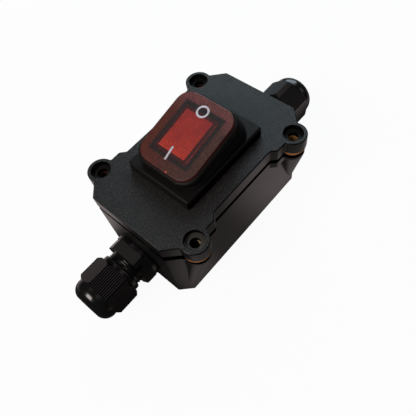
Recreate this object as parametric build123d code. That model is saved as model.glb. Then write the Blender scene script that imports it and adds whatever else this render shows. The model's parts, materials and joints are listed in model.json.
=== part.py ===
from build123d import *
import math
import os

# Waterproof in-line switch box: an eared two-part case with a sealed rocker switch
# in the lid and a cable gland in each end wall. Millimetres, +Z up, origin in the
# middle of the base's underside, +X along the cable run. "near" is the -X end.

# Case plan, measured from the middle of the case
case_half_length = 32.0
end_half_width = 14.3       # flat part of an end wall, up to the corner chamfer
waist_half_width = 18.5     # the lid's straight middle stretch
waist_half_length = 13.3
shoulder_step = 1.8         # 45 degree step from the waist out to the shoulders
base_set_in = 0.2           # base walls stand this far inside the lid's waist
ear_x = 23.4                # screw ears, 46.8 by 40.0 between holes
ear_y = 20.0
ear_radius = 4.5
ear_fillet = 0.7
plan_corner = 0.8           # rounding of the case's upright edges

# Case heights and walls
base_height = 26.7
base_wall = 2.2
base_floor = 2.2
base_edge = 0.7             # rounding of the base's bottom edge
rim_height = 2.3            # rim with shoulders and ears at the top of the base
base_ear_set_in = 0.4       # base ears are smaller than the lid's
base_ear_drop = 0.6         # top of the base ears below the rim
gusset_drop = 21.0          # taper under each base ear, running down into the corner
gusset_tip = 2.0
gusset_set_in = 0.1         # tip inside the faces of the two walls
seal_gap = 1.8              # open joint between the base's rim and the lid
lid_height = 4.6
lid_plate = 2.2
lid_wall = 2.0
lid_edge = 0.35             # rounding of the lid's top edge
lip_depth = 4.0             # locating lip under the lid, inside the base
lip_thickness = 1.2
gasket_thickness = 0.5      # case gasket, squeezed between lip and base wall
gasket_height = 1.5
gasket_drop = 0.5           # below the base's rim

# Screw holes in the ears (M3)
screw_hole_d = 3.4
pilot_hole_d = 2.5
pilot_depth = 4.5           # blind, into the gusset under the base ear
head_recess_d = 6.6
head_recess_depth = 1.8
washer_thickness = 1.2
washer_neck_d = 5.0         # neck that holds the washer in a pocket of the lid's ear
washer_neck_height = 1.2
washer_neck_clearance = 0.05
washer_hole_d = 3.0
washer_set_in = 0.2

# Switch housing, which hangs in a cut-out of the lid by its flange
cutout_length = 30.0
cutout_width = 22.0
housing_clearance = 0.2
housing_wall = 1.3
housing_floor = 1.6
housing_depth = 18.0        # below the lid's top
housing_corner = 0.8
flange_thickness = 1.2
clip_reach = 0.8            # snap wedges under the lid plate
clip_width = 8.0
clip_drop = 4.0
clip_gap = 0.1

# Bezel over the housing's flange
bezel_lap_x = 2.3           # bezel beyond the cut-out, at the ends and at the sides
bezel_lap_y = 1.5
bezel_height = 3.75
bezel_corner = 0.9
bezel_edge = 0.7
bezel_rim = 1.0             # bezel wall round the flange
bezel_clearance = 0.1

# Rocker: it turns on side trunnions and tips the same angle to each side
rocker_throw = 13.0         # degrees either side of level
pivot_rise = 0.25           # trunnion axis above the lid's top
trunnion_d = 3.0
trunnion_clearance = 0.05
trunnion_length = 1.6
cheek_wall = 1.2            # housing material over a trunnion
neck_side_gap = 0.4         # between the rocker's neck and the housing
neck_end_gap = 3.0          # room for the neck to swing, at each end
opening_gap = 0.8           # between the swinging neck and the bezel, at each end
opening_corner = 3.0
neck_wall = 1.05            # neck round the light well, at the ends and at the sides
neck_side_wall = 1.6
neck_corner = 1.0
neck_depth = 3.0            # neck below the trunnion axis
web_thickness = 1.4
skirt_height = 2.8          # black rim under the red cap
skirt_overhang = 1.0
skirt_corner = 5.6
skirt_shoulder = 0.9        # rounding of the rim beside the cap
skirt_edge = 0.8
pressed_gap = 0.42          # skirt over the bezel at the pressed end
cap_inset_x = 2.225         # cap inside the cut-out's outline, at the ends and at the sides
cap_inset_y = 0.425
cap_corner = 5.0
cap_thickness = 0.8
cap_edge = 0.25
light_well_corner = 1.0     # opening in the black rim under the cap
lens_gap_x = 2.5            # hollow red lens block under the cap, inside the light well
lens_gap_y = 2.2
lens_wall = 1.0
lens_depth = 7.0
lens_corner = 0.6

# Folding seal between bezel and rocker
bellows_wall = 0.7
bellows_foot = 0.5          # bellows foot outside the bezel's opening
bellows_stand_out = 0.35    # fold outside the rocker's rim
bellows_air = 0.05          # film between the bellows and what it is bonded to

# Contact gear, one set for each pole
pole_y = 5.0
leg_d = 5.0
leg_length = 4.0            # below the neck
leg_roof = 0.6
plunger_d = 3.2
plunger_clearance = 0.1
plunger_reach = 9.0         # trunnion axis to plunger tip
plunger_top = 5.2           # trunnion axis to the plunger's flat top
spring_wire_d = 0.4         # across the corners of a six-sided wire
spring_wire_sides = 6
spring_turns = 3.5
spring_gap = 0.05
contact_throw = 8.0         # degrees that the contact rocks either side of level
contact_gap = 0.3           # plunger tip over the contact at mid-travel
contact_slope = 14.0        # degrees that each contact arm rises from the middle
contact_arm = 8.0
contact_thickness = 0.8
contact_width = 4.5
contact_crown = 1.0         # contact's top above its knife edge
contact_hub = 1.2
contact_skirt = 0.6
knife_clearance = 0.05
rivet_d = 2.2
rivet_height = 0.6
rivet_place = 7.0           # along the contact arm
rivet_air = 0.1             # closed contacts stand this far apart in the solids
blade_thickness = 0.8
blade_width = 6.3
blade_length = 8.0          # below the housing's floor
blade_point = 1.2
blade_clearance = 0.05
blade_hole_d = 1.8
load_tab_length = 3.6
load_tab_overhang = 1.9     # load blade beyond the contact rivet
lamp_d = 3.6
lamp_length = 9.0
lamp_gap = 0.1
resistor_d = 1.8
resistor_length = 5.0
resistor_edge = 0.3

# Cable glands (PG7 size), measured outwards from an end wall
gland_height = 12.7         # gland axis above the base's underside
gland_thread_d = 12.4
gland_hole_clearance = 0.15
gland_bore_d = 8.0
gland_gasket_thickness = 0.9
gland_gasket_d = 16.4
gland_flange_d = 17.2
gland_flange_thickness = 1.3
gland_hex_flats = 16.2
gland_hex_length = 3.9
gland_hex_chamfer = 0.3
gland_hex_turn = 4.0        # degrees that the body's top flat leans from upright
gland_thread_length = 7.6   # outer thread, from the hex to the clamping fingers
finger_length = 4.0
finger_count = 8
finger_slot = 0.8
finger_tip_d = 10.0
seal_d = 8.6
seal_bore_d = 6.6
seal_length = 9.0
seal_clearance = 0.1
nut_stand_off = 2.2         # bare thread between the hex and the nut
nut_collar_length = 1.9
nut_collar_d = 14.4
nut_collar_edge = 0.8
nut_hex_length = 9.0
nut_ribbed_flat = 7.45      # axis to the ribbed flats
nut_smooth_flat = 7.85      # axis to the smooth flats
nut_chamfer = 0.9
nut_dome_d = 15.5
nut_dome_base = 0.8
nut_dome_length = 3.9
nut_tip_d = 9.4
nut_mouth_d = 7.4
nut_mouth_edge = 0.5
nut_bore_length = 6.7
nut_thread_clearance = 0.05
nut_roof = 2.4
nut_turn = 27.5             # degrees that the nut's ribbed flat leans from upright
rib_count = 11
rib_pitch = 0.7
rib_groove = 0.44           # width of the pointed groove between two ribs
rib_shift = 0.95            # ribs beside the middle of their flat
rib_depth = 0.4
locknut_flats = 17.0
locknut_length = 4.5
locknut_chamfer = 0.8
thread_tail = 1.3           # thread beyond the locknut

# Levels and sizes that follow from the values above
base_half_width = waist_half_width - base_set_in
lid_bottom = base_height + seal_gap
lid_top = lid_bottom + lid_height
plate_bottom = lid_top - lid_plate
housing_length = cutout_length - 2 * housing_clearance
housing_width = cutout_width - 2 * housing_clearance
housing_bottom = lid_top - housing_depth
room_length = housing_length - 2 * housing_wall
room_width = housing_width - 2 * housing_wall
bezel_length = cutout_length + 2 * bezel_lap_x
bezel_width = cutout_width + 2 * bezel_lap_y
bezel_top = lid_top + bezel_height
flange_length = bezel_length - 2 * bezel_rim
flange_width = bezel_width - 2 * bezel_rim
pivot_z = lid_top + pivot_rise
tilt = math.radians(rocker_throw)
neck_length = room_length - 2 * neck_end_gap
neck_width = room_width - 2 * neck_side_gap
light_well_length = neck_length - 2 * neck_wall
light_well_width = neck_width - 2 * neck_side_wall
lens_length = light_well_length - 2 * lens_gap_x
lens_width = light_well_width - 2 * lens_gap_y
cap_length = cutout_length - 2 * cap_inset_x
cap_width = cutout_width - 2 * cap_inset_y
skirt_length = cap_length + 2 * skirt_overhang
skirt_width = cap_width + 2 * skirt_overhang
skirt_bottom = (bezel_top - pivot_z + pressed_gap + skirt_length / 2 * math.sin(tilt)) / math.cos(tilt)
skirt_top = skirt_bottom + skirt_height
web_bottom = -neck_depth
web_top = web_bottom + web_thickness
leg_bottom = web_bottom - leg_length
leg_ceiling = web_top - leg_roof
opening_length = neck_length / math.cos(tilt) + 2 * (bezel_top - pivot_z) * math.tan(tilt) + 2 * opening_gap
opening_width = housing_width + 2 * neck_side_gap
contact_z = pivot_z - plunger_reach - contact_gap - contact_crown
knife_r = blade_thickness / 2
gland_hex_start = gland_gasket_thickness + gland_flange_thickness
gland_hex_end = gland_hex_start + gland_hex_length
gland_thread_end = gland_hex_end + gland_thread_length
nut_start = gland_hex_end + nut_stand_off
nut_hex_start = nut_start + nut_collar_length
nut_hex_end = nut_hex_start + nut_hex_length
nut_end = nut_hex_end + nut_dome_base + nut_dome_length

ear_places = GridLocations(2 * ear_x, 2 * ear_y, 2, 2)
rocker_place = Pos(0, 0, pivot_z) * Rot(0, -rocker_throw, 0)
poles = {"left": pole_y, "right": -pole_y}
ends = {"near": -1, "far": 1}


def all_round(quarter):
    """Mirror the points of one quarter into a closed outline."""
    second = [(-x, y) for x, y in reversed(quarter)]
    third = [(-x, -y) for x, y in quarter]
    fourth = [(x, -y) for x, y in reversed(quarter)]
    return quarter + second + third + fourth


def base_plan(inset):
    """Eight-sided plan of the base, moved in by inset all round."""
    x = case_half_length - inset
    y = base_half_width - inset
    end = end_half_width - inset * math.tan(math.radians(22.5))
    plan = Polygon(*all_round([(x, end), (x - (y - end), y)]), align=None)
    return fillet(plan.vertices(), plan_corner)


def shoulder_plan():
    """Waisted eight-sided plan with shoulders."""
    wide = waist_half_width + shoulder_step
    quarter = [
        (case_half_length, end_half_width),
        (case_half_length - (wide - end_half_width), wide),
        (waist_half_length + shoulder_step, wide),
        (waist_half_length, waist_half_width),
    ]
    plan = Polygon(*all_round(quarter), align=None)
    return fillet(plan.vertices(), plan_corner)


def eared_plan(ear_r):
    """The shouldered plan with four round ears, rounded where they join."""
    plan = shoulder_plan() + at_ears(Circle(ear_r))
    centres = [place.position for place in ear_places]
    joins = [v for v in plan.vertices()
             if any(abs((Vector(v) - c).length - ear_r) < 0.001 for c in centres)]
    return fillet(joins, ear_fillet)


def at_ears(plan):
    """The same flat plan at all four ears."""
    return Sketch() + [place * plan for place in ear_places]


def standing(plan, bottom, top):
    """A flat plan extruded between two levels."""
    return Pos(0, 0, bottom) * extrude(plan, top - bottom)


def ring_profile(points):
    """A solid of revolution about Z from (radius, height) points."""
    return revolve(Plane.XZ * make_face(Polyline(*points, close=True)), Axis.Z)


def make_base_shell():
    shell = standing(base_plan(0), 0, base_height)
    shell = fillet(shell.faces().sort_by(Axis.Z)[0].edges(), base_edge)
    ear_r = ear_radius - base_ear_set_in
    under_rim = base_height - rim_height
    shell += standing(shoulder_plan(), under_rim, base_height)
    shell += standing(eared_plan(ear_r), under_rim, base_height - base_ear_drop)
    tip_y = base_half_width - gusset_tip - gusset_set_in
    tip_x = case_half_length + end_half_width - tip_y - (gusset_tip + gusset_set_in) * math.sqrt(2)
    for place in ear_places:
        end = math.copysign(1, place.position.X)
        side = math.copysign(1, place.position.Y)
        tip = Pos(end * tip_x, side * tip_y) * Circle(gusset_tip)
        ear = place * Circle(ear_r)
        shell += loft([Pos(0, 0, under_rim - gusset_drop) * tip, Pos(0, 0, under_rim) * ear])
    shell -= standing(at_ears(Circle(pilot_hole_d / 2)), base_height - pilot_depth, base_height)
    shell -= standing(base_plan(base_wall), base_floor, base_height)
    hole_r = gland_thread_d / 2 + gland_hole_clearance
    shell -= Pos(0, 0, gland_height) * Rot(0, 90, 0) * Cylinder(hole_r, 3 * case_half_length)
    return shell


def make_lid():
    lid = standing(eared_plan(ear_radius), lid_bottom, lid_top)
    lid = fillet(lid.faces().sort_by(Axis.Z)[-1].outer_wire().edges(), lid_edge)
    lid -= standing(base_plan(lid_wall), lid_bottom, plate_bottom)
    lip_set_in = base_wall + gasket_thickness
    lip = base_plan(lip_set_in) - base_plan(lip_set_in + lip_thickness)
    lid += standing(lip, lid_bottom - lip_depth, plate_bottom)
    lid -= standing(RectangleRounded(cutout_length, cutout_width, housing_corner), plate_bottom, lid_top)
    holes = at_ears(Circle(screw_hole_d / 2))
    recesses = at_ears(Circle(head_recess_d / 2))
    lid -= standing(holes, lid_bottom, lid_top)
    lid -= standing(recesses, lid_top - head_recess_depth, lid_top)
    pockets = at_ears(Circle(washer_neck_d / 2 + washer_neck_clearance))
    lid -= standing(pockets, lid_bottom, lid_bottom + washer_neck_height)
    return lid


def make_lid_gasket():
    ring = base_plan(base_wall) - base_plan(base_wall + gasket_thickness)
    top = base_height - gasket_drop
    return standing(ring, top - gasket_height, top)


def make_screw_washers():
    hole = Circle(washer_hole_d / 2)
    flange = at_ears(Circle(ear_radius - washer_set_in) - hole)
    neck = at_ears(Circle(washer_neck_d / 2) - hole)
    washers = standing(flange, lid_bottom - washer_thickness, lid_bottom)
    return washers + standing(neck, lid_bottom, lid_bottom + washer_neck_height)


def make_switch_housing():
    outer = RectangleRounded(housing_length, housing_width, housing_corner)
    housing = standing(outer, housing_bottom, lid_top + flange_thickness)
    flange = RectangleRounded(flange_length, flange_width, housing_corner)
    housing += standing(flange, lid_top, lid_top + flange_thickness)
    cheek_r = trunnion_d / 2 + trunnion_clearance + cheek_wall
    cheek_side = housing_width / 2 - housing_wall / 2
    across = Rot(90, 0, 0)
    cheek = across * Cylinder(cheek_r, housing_wall)
    housing += [Pos(0, side * cheek_side, pivot_z) * cheek for side in (-1, 1)]
    room_floor = housing_bottom + housing_floor
    housing -= standing(Rectangle(room_length, room_width), room_floor, lid_top + flange_thickness)
    trunnion_hole = Cylinder(trunnion_d / 2 + trunnion_clearance, 2 * housing_width)
    housing -= Pos(0, 0, pivot_z) * across * trunnion_hole
    slot = Rectangle(blade_thickness + 2 * blade_clearance, blade_width + 2 * blade_clearance)
    for y in poles.values():
        for x in (0, load_blade_x()):
            housing -= standing(Pos(x, y) * slot, housing_bottom, room_floor)
    for side in (-1, 1):
        clip_top = plate_bottom - clip_gap
        wall = side * housing_length / 2
        wedge = [(wall, clip_top), (wall + side * clip_reach, clip_top), (wall, clip_top - clip_drop)]
        housing += extrude(Plane.XZ * Polygon(*wedge, align=None), clip_width / 2, both=True)
    return housing


def make_switch_bezel():
    block = standing(RectangleRounded(bezel_length, bezel_width, bezel_corner), lid_top, bezel_top)
    block = fillet(block.faces().sort_by(Axis.Z)[-1].edges(), bezel_edge)
    room = 2 * bezel_clearance
    flange = RectangleRounded(flange_length + room, flange_width + room, housing_corner)
    block -= standing(flange, lid_top, lid_top + flange_thickness + bezel_clearance)
    opening = RectangleRounded(opening_length, opening_width, opening_corner)
    return block - standing(opening, lid_top, bezel_top)


def make_rocker_frame():
    """Black rocker: rim under the cap, neck, trunnions and two plunger legs."""
    skirt_plan = RectangleRounded(skirt_length, skirt_width, skirt_corner)
    frame = standing(skirt_plan, skirt_bottom, skirt_top)
    frame = fillet(frame.faces().sort_by(Axis.Z)[-1].edges(), skirt_shoulder)
    frame = fillet(frame.faces().sort_by(Axis.Z)[0].edges(), skirt_edge)
    frame += standing(RectangleRounded(neck_length, neck_width, neck_corner), web_bottom, skirt_top)
    frame += Rot(90, 0, 0) * Cylinder(trunnion_d / 2, neck_width + 2 * trunnion_length)
    well = RectangleRounded(light_well_length, light_well_width, light_well_corner)
    frame -= standing(well, web_top, skirt_top)
    for y in poles.values():
        frame += standing(Pos(0, y) * Circle(leg_d / 2), leg_bottom, web_top)
        bore = Circle(plunger_d / 2 + plunger_clearance)
        frame -= standing(Pos(0, y) * bore, leg_bottom, leg_ceiling)
    return rocker_place * frame


def make_rocker_cap():
    """Red translucent cap: a thin plate with a hollow lens block under it."""
    cap_top = skirt_top + cap_thickness
    cap = standing(RectangleRounded(cap_length, cap_width, cap_corner), skirt_top, cap_top)
    cap = fillet(cap.faces().sort_by(Axis.Z)[-1].edges(), cap_edge)
    block = RectangleRounded(lens_length, lens_width, lens_corner)
    hollow = Rectangle(lens_length - 2 * lens_wall, lens_width - 2 * lens_wall)
    cap += standing(block - hollow, skirt_top - lens_depth, skirt_top)
    return rocker_place * cap


def make_boot_bellows():
    """Folding seal from the bezel up to the tilted rocker, with one bulge."""
    foot_z = bezel_top + bellows_air
    head_z = skirt_bottom - bellows_air
    foot = (opening_length + 2 * bellows_foot, opening_width + 2 * bellows_foot)
    head = (skirt_length - 2 * skirt_edge, skirt_width - 2 * skirt_edge)
    belly = (skirt_length + 2 * bellows_stand_out, skirt_width + 2 * bellows_stand_out)
    middle_z = (foot_z - pivot_z + head_z) / 2

    def hose(shrink):
        def level(size, corner):
            return RectangleRounded(size[0] - shrink, size[1] - shrink, corner - shrink / 2)
        half_tilt = Pos(0, 0, pivot_z) * Rot(0, -rocker_throw / 2, 0)
        return loft([
            Pos(0, 0, foot_z) * level(foot, opening_corner + bellows_foot),
            half_tilt * Pos(0, 0, middle_z) * level(belly, skirt_corner + bellows_stand_out),
            rocker_place * Pos(0, 0, head_z) * level(head, skirt_corner - skirt_edge),
        ], ruled=True)

    return hose(0) - hose(2 * bellows_wall)


def make_plunger(y):
    r = plunger_d / 2
    nose = -plunger_reach + r
    pin = standing(Circle(r), nose, -plunger_top) + Pos(0, 0, nose) * Sphere(r)
    return rocker_place * Pos(0, y, 0) * pin


def make_plunger_spring(y):
    """Open coil between the leg's roof and the plunger."""
    low = -plunger_top + spring_wire_d / 2 + spring_gap
    high = leg_ceiling - spring_wire_d / 2 - spring_gap
    mean_r = plunger_d / 2 - spring_wire_d / 2 - plunger_clearance
    path = Helix((high - low) / spring_turns, high - low, mean_r)
    section = RegularPolygon(spring_wire_d / 2, spring_wire_sides)
    wire = sweep(Plane(origin=path @ 0, z_dir=path % 0) * section, path)
    return rocker_place * Pos(0, y, low) * wire


def contact_point(along, below):
    """Point on a level contact's +X arm, from its knife edge."""
    rise = math.radians(contact_slope)
    x = along * math.cos(rise) + below * math.sin(rise)
    z = contact_crown + along * math.sin(rise) - below * math.cos(rise)
    return x, z


def closed_rivet():
    """Middle of the closed contact's rivet face, from its knife edge."""
    x, z = contact_point(rivet_place, contact_thickness + rivet_height)
    turn = math.radians(contact_throw)
    return x * math.cos(turn) + z * math.sin(turn), z * math.cos(turn) - x * math.sin(turn)


def load_blade_x():
    return closed_rivet()[0] + load_tab_overhang


def make_contact_seesaw(y):
    """V-shaped rocking contact with a grooved hub that sits on a knife edge."""
    arm_end = contact_point(contact_arm, 0)
    arm_low = contact_point(contact_arm, contact_thickness)
    under = contact_crown - contact_thickness / math.cos(math.radians(contact_slope))
    half = [(0, contact_crown), arm_end, arm_low, (0, under)]
    profile = Polygon(*half, align=None) + Polygon(*[(-x, z) for x, z in reversed(half)], align=None)
    hub = Rectangle(2 * contact_hub, contact_crown + contact_skirt)
    profile += Pos(0, (contact_crown - contact_skirt) / 2) * hub
    groove = knife_r + knife_clearance
    flare = groove + contact_skirt * math.tan(math.radians(2 * contact_throw))
    profile -= Circle(groove)
    notch = [(-groove, 0), (groove, 0), (flare, -contact_skirt), (-flare, -contact_skirt)]
    profile -= Polygon(*notch, align=None)
    contact = extrude(Plane.XZ * profile, contact_width / 2, both=True)
    x, z = contact_point(rivet_place, contact_thickness + rivet_height / 2)
    contact += Pos(x, 0, z) * Rot(0, -contact_slope, 0) * Cylinder(rivet_d / 2, rivet_height)
    return Pos(0, y, contact_z) * Rot(0, contact_throw, 0) * contact


def blade_below(x, y):
    """Push-on blade under the housing, with a chamfered point and a hole."""
    bottom = housing_bottom - blade_length
    half = blade_width / 2
    tip = half - blade_point
    outline = Polygon((-half, housing_bottom + housing_floor), (half, housing_bottom + housing_floor),
                      (half, bottom + blade_point), (tip, bottom), (-tip, bottom),
                      (-half, bottom + blade_point), align=None)
    outline -= Pos(0, housing_bottom - blade_length / 2) * Circle(blade_hole_d / 2)
    return Pos(x, y, 0) * extrude(Plane.YZ * outline, blade_thickness / 2, both=True)


def make_common_terminal(y):
    """Blade whose rounded top edge is the contact's knife edge."""
    stem = standing(Rectangle(blade_thickness, contact_width), housing_bottom + housing_floor, contact_z)
    edge = Pos(0, 0, contact_z) * Rot(90, 0, 0) * Cylinder(knife_r, contact_width)
    return blade_below(0, y) + Pos(0, y, 0) * (stem + edge)


def make_load_terminal(y):
    """Blade bent over into a tab that carries the fixed rivet."""
    x = load_blade_x()
    rivet_x, rivet_z = closed_rivet()
    lean = math.radians(contact_slope - contact_throw)
    rivet_top = contact_z + rivet_z - rivet_d / 2 * math.sin(lean) - rivet_air
    tab_top = rivet_top - rivet_height
    outer = x + blade_thickness / 2
    stem_plan = Pos(x, 0) * Rectangle(blade_thickness, contact_width)
    stem = standing(stem_plan, housing_bottom + housing_floor, tab_top)
    tab = Pos(outer - load_tab_length / 2, 0) * Rectangle(load_tab_length, contact_width)
    head = stem + standing(tab, tab_top - blade_thickness, tab_top)
    head += standing(Pos(rivet_x, 0) * Circle(rivet_d / 2), tab_top, rivet_top)
    return blade_below(x, y) + Pos(0, y, 0) * head


def make_indicator_lamp():
    r = lamp_d / 2
    straight = lamp_length - lamp_d
    lamp = Rot(0, 90, 0) * Cylinder(r, straight)
    lamp += [Pos(side * straight / 2, 0, 0) * Sphere(r) for side in (-1, 1)]
    return rocker_place * Pos(0, 0, web_top + lamp_gap + r) * lamp


def make_lamp_resistor():
    r = resistor_d / 2
    y = light_well_width / 2 - resistor_d
    body = chamfer(Cylinder(r, resistor_length).edges().filter_by(GeomType.CIRCLE), resistor_edge)
    return rocker_place * Pos(0, y, web_top + lamp_gap + r) * Rot(0, 90, 0) * body


def on_gland(end):
    """Gland axis: outwards along local Z from an end wall, with local X upwards."""
    return Plane(origin=(end * case_half_length, 0, gland_height), x_dir=(0, 0, 1), z_dir=(end, 0, 0))


def hexagon(flat_a, flat_b):
    """Six sides whose distances from the axis alternate."""
    corners = []
    for side in range(6):
        this, following = (flat_a, flat_b) if side % 2 == 0 else (flat_b, flat_a)
        corner = Vector(this, (following - this / 2) / math.sin(math.radians(60)))
        corners.append(tuple(corner.rotate(Axis.Z, 60 * side))[:2])
    return Polygon(*corners, align=None)


def chamfered_prism(plan, low, high, chamfer):
    """A hexagonal prism whose corners are turned down to a cone at both ends."""
    prism = standing(plan, low, high)
    reach = max(Vector(v).length for v in plan.vertices())
    turned = ring_profile([(0, low), (reach - chamfer, low), (reach, low + chamfer),
                           (reach, high - chamfer), (reach - chamfer, high), (0, high)])
    return prism & turned


def make_gland_body(end):
    """Threaded body with a flange, hex and slotted clamping fingers."""
    thread_r = gland_thread_d / 2
    bore_r = gland_bore_d / 2
    seat_r = seal_d / 2 + seal_clearance
    inner_end = -(base_wall + locknut_length + thread_tail)
    finger_end = gland_thread_end + finger_length
    seat = finger_end - seal_length
    body = ring_profile([
        (bore_r, inner_end), (thread_r, inner_end), (thread_r, gland_gasket_thickness),
        (gland_flange_d / 2, gland_gasket_thickness), (gland_flange_d / 2, gland_hex_start),
        (thread_r, gland_hex_start), (thread_r, gland_thread_end),
        (finger_tip_d / 2, finger_end), (seat_r, finger_end), (seat_r, seat), (bore_r, seat),
    ])
    flat = gland_hex_flats / 2
    hex_part = chamfered_prism(hexagon(flat, flat), gland_hex_start, gland_hex_end, gland_hex_chamfer)
    hex_part -= standing(Circle(thread_r), gland_hex_start, gland_hex_end)
    body += Rot(0, 0, end * gland_hex_turn) * hex_part
    slot_middle = (gland_thread_end + finger_end) / 2
    for turn in range(finger_count // 2):
        slot = Box(gland_thread_d, finger_slot, finger_length)
        body -= Pos(0, 0, slot_middle) * Rot(0, 0, 360 / finger_count * turn) * slot
    return on_gland(end) * body


def make_gland_nut(end):
    """Dome nut: collar, six flats with every other one ribbed, and a round dome."""
    bore_r = gland_thread_d / 2 + nut_thread_clearance
    dome_r = nut_dome_d / 2
    dome_start = nut_hex_end + nut_dome_base
    collar_r = nut_collar_d / 2
    plan = hexagon(nut_ribbed_flat, nut_smooth_flat)
    nut = chamfered_prism(plan, nut_hex_start, nut_hex_end, nut_chamfer)
    notch = Polygon((0, -rib_groove / 2), (0, rib_groove / 2), (-rib_depth, 0), align=None)
    for face in range(3):
        for rib in range(rib_count):
            y = rib_shift + (rib - (rib_count - 1) / 2) * rib_pitch
            groove = standing(Pos(nut_ribbed_flat, y) * notch, nut_hex_start, nut_hex_end)
            nut -= Rot(0, 0, 120 * face) * groove
    collar = standing(Circle(collar_r), nut_start, nut_hex_start)
    nut += fillet(collar.edges().sort_by(Axis.Z)[:1], nut_collar_edge)
    shoulder = Polyline((0, nut_hex_end), (dome_r, nut_hex_end), (dome_r, dome_start))
    crown = RadiusArc((dome_r, dome_start), (nut_tip_d / 2, nut_end), -nut_dome_length)
    closing = Polyline((nut_tip_d / 2, nut_end), (0, nut_end), (0, nut_hex_end))
    dome_face = make_face(shoulder.edges() + crown.edges() + closing.edges())
    nut += revolve(Plane.XZ * dome_face, Axis.Z)
    mouth_r = nut_mouth_d / 2
    nut -= ring_profile([
        (0, nut_start), (bore_r, nut_start), (bore_r, nut_start + nut_bore_length),
        (mouth_r, nut_end - nut_roof), (mouth_r, nut_end - nut_mouth_edge),
        (mouth_r + nut_mouth_edge, nut_end), (0, nut_end),
    ])
    return on_gland(end) * Rot(0, 0, end * nut_turn) * nut


def make_gland_seal(end):
    """Rubber sleeve inside the clamping fingers."""
    finger_end = gland_thread_end + finger_length
    ring = Circle(seal_d / 2) - Circle(seal_bore_d / 2)
    return on_gland(end) * standing(ring, finger_end - seal_length, finger_end)


def make_gland_gasket(end):
    ring = Circle(gland_gasket_d / 2) - Circle(gland_thread_d / 2 + gland_hole_clearance)
    return on_gland(end) * standing(ring, 0, gland_gasket_thickness)


def make_gland_locknut(end):
    flat = locknut_flats / 2
    low = -base_wall - locknut_length
    nut = chamfered_prism(hexagon(flat, flat), low, -base_wall, locknut_chamfer)
    bore = Circle(gland_thread_d / 2 + nut_thread_clearance)
    return on_gland(end) * (nut - standing(bore, low, -base_wall))


nodes = {
    "base_shell": make_base_shell(),
    "lid": make_lid(),
    "lid_gasket": make_lid_gasket(),
    "screw_washers": make_screw_washers(),
    "switch_housing": make_switch_housing(),
    "switch_bezel": make_switch_bezel(),
    "boot_bellows": make_boot_bellows(),
    "rocker_frame": make_rocker_frame(),
    "rocker_cap": make_rocker_cap(),
    "indicator_lamp": make_indicator_lamp(),
    "lamp_resistor": make_lamp_resistor(),
}
for pole, y in poles.items():
    nodes[f"plunger_{pole}"] = make_plunger(y)
    nodes[f"plunger_spring_{pole}"] = make_plunger_spring(y)
    nodes[f"contact_seesaw_{pole}"] = make_contact_seesaw(y)
    nodes[f"common_terminal_{pole}"] = make_common_terminal(y)
    nodes[f"load_terminal_{pole}"] = make_load_terminal(y)
for name, end in ends.items():
    nodes[f"gland_body_{name}"] = make_gland_body(end)
    nodes[f"gland_nut_{name}"] = make_gland_nut(end)
    nodes[f"gland_seal_{name}"] = make_gland_seal(end)
    nodes[f"gland_gasket_{name}"] = make_gland_gasket(end)
    nodes[f"gland_locknut_{name}"] = make_gland_locknut(end)

os.makedirs("parts", exist_ok=True)
for name, solid in nodes.items():
    export_step(solid, f"parts/{name}.step")
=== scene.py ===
"""Dresses a packed waterproof switch box: a finish for every piece, the folding boot, the gland threads,
the switch marks and a plain stage."""

import json
import math
from collections import namedtuple

import bmesh
import bpy
from bpy.props import FloatProperty, FloatVectorProperty, PointerProperty
from mathutils import Matrix, Vector


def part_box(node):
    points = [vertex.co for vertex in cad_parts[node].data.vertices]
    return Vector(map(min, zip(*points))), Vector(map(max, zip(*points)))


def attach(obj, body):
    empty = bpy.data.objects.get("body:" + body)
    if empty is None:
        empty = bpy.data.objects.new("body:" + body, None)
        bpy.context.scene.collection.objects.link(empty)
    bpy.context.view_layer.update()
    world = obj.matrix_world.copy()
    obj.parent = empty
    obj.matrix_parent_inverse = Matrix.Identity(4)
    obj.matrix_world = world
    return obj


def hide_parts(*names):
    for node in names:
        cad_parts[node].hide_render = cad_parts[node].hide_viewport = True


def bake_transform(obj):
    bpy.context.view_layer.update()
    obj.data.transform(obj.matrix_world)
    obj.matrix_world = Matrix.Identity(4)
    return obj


bl_info = {
    "name": "Waterproof Switch Box",
    "version": (1, 0, 0),
    "blender": (4, 5, 0),
    "location": "3D View > Sidebar > Switch Box",
    "description": "Finishes, boot, threads, marks and stage for a packed switch box",
    "category": "Object",
}

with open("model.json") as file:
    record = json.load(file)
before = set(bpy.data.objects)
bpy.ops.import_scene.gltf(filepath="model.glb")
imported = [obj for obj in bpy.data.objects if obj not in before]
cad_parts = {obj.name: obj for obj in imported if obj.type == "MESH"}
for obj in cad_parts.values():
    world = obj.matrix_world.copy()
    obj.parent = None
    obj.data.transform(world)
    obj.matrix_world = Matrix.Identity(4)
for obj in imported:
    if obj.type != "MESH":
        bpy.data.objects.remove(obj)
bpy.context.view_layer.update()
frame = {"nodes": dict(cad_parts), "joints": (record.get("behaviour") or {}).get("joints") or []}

MM = 0.001
POLES = ("left", "right")
ENDS = {"near": -1, "far": 1}
BLACK = (0, 0, 0)
WHITE = (1, 1, 1)
PLASTIC_IOR = 1.5
NYLON_IOR = 1.53

# Corners of the areas that show through the cap, in millimetres from the rocker's axis
LENS = ((-6.9, -4.8), (7.0, 5.4))
LENS_STREAK = ((-7.2, -6.2), (7.0, -5.9))
LENS_BLOCK = ((-8.0, -6.55), (8.0, 6.5))
LIGHT_WELL = ((-9.2, -7.7), (9.6, 7.55))

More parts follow.
